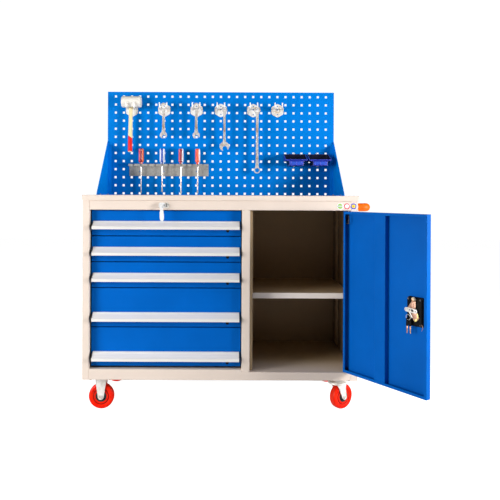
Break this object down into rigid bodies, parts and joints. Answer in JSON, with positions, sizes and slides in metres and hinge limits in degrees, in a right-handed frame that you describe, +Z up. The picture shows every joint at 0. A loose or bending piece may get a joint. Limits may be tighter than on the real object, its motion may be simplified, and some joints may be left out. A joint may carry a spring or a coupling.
{
  "type": "tool cart",
  "caption": "Mobile workshop cabinet with a drawer stack, a one-shelf cupboard with hinged door, a flat worktop, a perforated tool board with hung tools, and swivel and fixed casters.",
  "frame": {"origin": "on the floor below the middle of the cabinet body's footprint", "axes": "+X to the right seen from the front, +Y to the back, +Z up"},
  "size_m": [1.24, 0.8358, 1.335],
  "materials": {
    "cream_paint": "satin powder coat",
    "blue_paint": "satin powder coat",
    "board_blue_paint": "satin powder coat",
    "aluminium_extrusion": "fine satin",
    "zinc_plate": "bright zinc plate",
    "tool_steel": "satin chrome",
    "galvanised_steel": "galvanised",
    "black_plastic": "moulded",
    "bin_plastic": "moulded",
    "red_polyurethane": "smooth",
    "orange_plastic": "moulded",
    "wood": "raw",
    "screwdriver_plastic": "clear gloss",
    "brass": "yellow zinc",
    "key_plastic": "moulded"
  },
  "bodies": {
    "root": {"left_side_panel": "cream_paint", "right_side_panel": "cream_paint", "back_panel": "cream_paint", "base_pan": "cream_paint", "top_rail": "cream_paint", "bottom_rail": "cream_paint", "centre_divider": "cream_paint", "worktop": "cream_paint", "worktop_core": "wood", "pegboard": "board_blue_paint", "side_gussets": "board_blue_paint", "shelf": "cream_paint", "shelf_uprights": "cream_paint", "drawer_rails": "galvanised_steel", "tool_hooks": "zinc_plate", "screwdriver_rack": "galvanised_steel", "push_handle_tube": "orange_plastic", "push_handle_brackets": "orange_plastic", "lock_barrel": "zinc_plate", "fasteners": "zinc_plate", "fixed_caster_forks": "zinc_plate", "swivel_caster_plates": "zinc_plate"},
    "drawer_1": {"drawer_1_body": "blue_paint", "drawer_1_handle": "aluminium_extrusion"},
    "drawer_1_latch": {"drawer_1_latch": "black_plastic"},
    "drawer_2": {"drawer_2_body": "blue_paint", "drawer_2_handle": "aluminium_extrusion"},
    "drawer_2_latch": {"drawer_2_latch": "black_plastic"},
    "drawer_3": {"drawer_3_body": "blue_paint", "drawer_3_handle": "aluminium_extrusion"},
    "drawer_3_latch": {"drawer_3_latch": "black_plastic"},
    "drawer_4": {"drawer_4_body": "blue_paint", "drawer_4_handle": "aluminium_extrusion"},
    "drawer_4_latch": {"drawer_4_latch": "black_plastic"},
    "drawer_5": {"drawer_5_body": "blue_paint", "drawer_5_handle": "aluminium_extrusion"},
    "drawer_5_latch": {"drawer_5_latch": "black_plastic"},
    "door": {"door_leaf": "blue_paint", "door_pivot_pins": "zinc_plate", "door_lock": "black_plastic"},
    "door_cam": {"door_lock_cam": "brass"},
    "key": {"lock_plug_and_key": "key_plastic"},
    "spare_key": {"key_tag": "key_plastic"},
    "front_left_wheel": {"front_left_wheel": "red_polyurethane"},
    "front_swivel": {"front_swivel_fork": "zinc_plate"},
    "front_right_wheel": {"front_right_wheel": "red_polyurethane"},
    "rear_left_wheel": {"rear_left_wheel": "red_polyurethane"},
    "rear_swivel": {"rear_swivel_fork": "zinc_plate"},
    "rear_right_wheel": {"rear_right_wheel": "red_polyurethane"},
    "mallet": {"mallet": "wood"},
    "wrench_1": {"wrench_1": "tool_steel"},
    "wrench_2": {"wrench_2": "tool_steel"},
    "wrench_3": {"wrench_3": "tool_steel"},
    "wrench_4": {"wrench_4": "tool_steel"},
    "screwdriver_1": {"screwdriver_1": "screwdriver_plastic"},
    "screwdriver_2": {"screwdriver_2": "screwdriver_plastic"},
    "screwdriver_3": {"screwdriver_3": "screwdriver_plastic"},
    "screwdriver_4": {"screwdriver_4": "screwdriver_plastic"},
    "parts_bin_1": {"parts_bin_1": "bin_plastic"},
    "parts_bin_2": {"parts_bin_2": "bin_plastic"}
  },
  "joints": [
    {"name": "drawer_1_slide", "type": "slide", "parent": "root", "child": "drawer_1", "axis": [0, -1, 0], "range_m": [0, 0.35]},
    {"name": "drawer_1_latch_slide", "type": "slide", "parent": "drawer_1", "child": "drawer_1_latch", "axis": [1, 0, 0], "range_m": [0, 0.006], "stiffness_N_per_m": 150},
    {"name": "drawer_2_slide", "type": "slide", "parent": "root", "child": "drawer_2", "axis": [0, -1, 0], "range_m": [0, 0.35]},
    {"name": "drawer_2_latch_slide", "type": "slide", "parent": "drawer_2", "child": "drawer_2_latch", "axis": [1, 0, 0], "range_m": [0, 0.006], "stiffness_N_per_m": 150},
    {"name": "drawer_3_slide", "type": "slide", "parent": "root", "child": "drawer_3", "axis": [0, -1, 0], "range_m": [0, 0.35]},
    {"name": "drawer_3_latch_slide", "type": "slide", "parent": "drawer_3", "child": "drawer_3_latch", "axis": [1, 0, 0], "range_m": [0, 0.006], "stiffness_N_per_m": 150},
    {"name": "drawer_4_slide", "type": "slide", "parent": "root", "child": "drawer_4", "axis": [0, -1, 0], "range_m": [0, 0.35]},
    {"name": "drawer_4_latch_slide", "type": "slide", "parent": "drawer_4", "child": "drawer_4_latch", "axis": [1, 0, 0], "range_m": [0, 0.006], "stiffness_N_per_m": 150},
    {"name": "drawer_5_slide", "type": "slide", "parent": "root", "child": "drawer_5", "axis": [0, -1, 0], "range_m": [0, 0.35]},
    {"name": "drawer_5_latch_slide", "type": "slide", "parent": "drawer_5", "child": "drawer_5_latch", "axis": [1, 0, 0], "range_m": [0, 0.006], "stiffness_N_per_m": 150},
    {"name": "door_hinge", "type": "hinge", "parent": "root", "child": "door", "pos_m": [0.4935, -0.247, 0.48], "axis": [0, 0, 1], "range_deg": [-123.6, 5]},
    {"name": "door_cam_turn", "type": "hinge", "parent": "door", "child": "door_cam", "pos_m": [0.65892, -0.52309, 0.462], "axis": [0.8329, 0.5534, 0], "range_deg": [0, 40]},
    {"name": "key_turn", "type": "hinge", "parent": "root", "child": "key", "pos_m": [-0.209, -0.252, 0.811], "axis": [0, 1, 0], "range_deg": [0, 90]},
    {"name": "spare_key_swing", "type": "hinge", "parent": "key", "child": "spare_key", "pos_m": [-0.226, -0.267, 0.811], "axis": [0, 1, 0], "range_deg": [-90, 0]},
    {"name": "front_left_wheel_spin", "type": "hinge", "parent": "root", "child": "front_left_wheel", "pos_m": [-0.471, -0.172, 0.05], "axis": [0, 1, 0], "continuous": true},
    {"name": "front_swivel_turn", "type": "hinge", "parent": "root", "child": "front_swivel", "pos_m": [0.471, -0.172, 0.118], "axis": [0, 0, 1], "continuous": true},
    {"name": "front_right_wheel_spin", "type": "hinge", "parent": "front_swivel", "child": "front_right_wheel", "pos_m": [0.4861, -0.1622, 0.05], "axis": [-0.5446, 0.8387, 0], "continuous": true},
    {"name": "rear_left_wheel_spin", "type": "hinge", "parent": "root", "child": "rear_left_wheel", "pos_m": [-0.471, 0.172, 0.05], "axis": [0, 1, 0], "continuous": true},
    {"name": "rear_swivel_turn", "type": "hinge", "parent": "root", "child": "rear_swivel", "pos_m": [0.471, 0.172, 0.118], "axis": [0, 0, 1], "continuous": true},
    {"name": "rear_right_wheel_spin", "type": "hinge", "parent": "rear_swivel", "child": "rear_right_wheel", "pos_m": [0.48791, 0.17816, 0.05], "axis": [-0.342, 0.9397, 0], "continuous": true},
    {"name": "mallet_lift", "type": "slide", "parent": "root", "child": "mallet", "axis": [0, 0, 1], "range_m": [0, 0.1]},
    {"name": "wrench_1_lift", "type": "slide", "parent": "root", "child": "wrench_1", "axis": [0, 0, 1], "range_m": [0, 0.05]},
    {"name": "wrench_2_lift", "type": "slide", "parent": "root", "child": "wrench_2", "axis": [0, 0, 1], "range_m": [0, 0.05]},
    {"name": "wrench_3_swing", "type": "hinge", "parent": "root", "child": "wrench_3", "pos_m": [0.017, 0.216, 1.253], "axis": [0, 1, 0], "range_deg": [-12, 12]},
    {"name": "wrench_4_swing", "type": "hinge", "parent": "root", "child": "wrench_4", "pos_m": [0.169, 0.216, 1.253], "axis": [0, 1, 0], "range_deg": [-12, 12]},
    {"name": "screwdriver_1_pull", "type": "slide", "parent": "root", "child": "screwdriver_1", "axis": [0, -1, 0], "range_m": [0, 0.05]},
    {"name": "screwdriver_2_pull", "type": "slide", "parent": "root", "child": "screwdriver_2", "axis": [0, -1, 0], "range_m": [0, 0.05]},
    {"name": "screwdriver_3_pull", "type": "slide", "parent": "root", "child": "screwdriver_3", "axis": [0, -1, 0], "range_m": [0, 0.05]},
    {"name": "screwdriver_4_pull", "type": "slide", "parent": "root", "child": "screwdriver_4", "axis": [0, -1, 0], "range_m": [0, 0.05]},
    {"name": "parts_bin_1_lift", "type": "slide", "parent": "root", "child": "parts_bin_1", "axis": [0, 0, 1], "range_m": [0, 0.06]},
    {"name": "parts_bin_2_lift", "type": "slide", "parent": "root", "child": "parts_bin_2", "axis": [0, 0, 1], "range_m": [0, 0.06]}
  ],
  "couplings": [
    {"joint": "spare_key_swing", "follows": "key_turn", "ratio": -1}
  ]
}
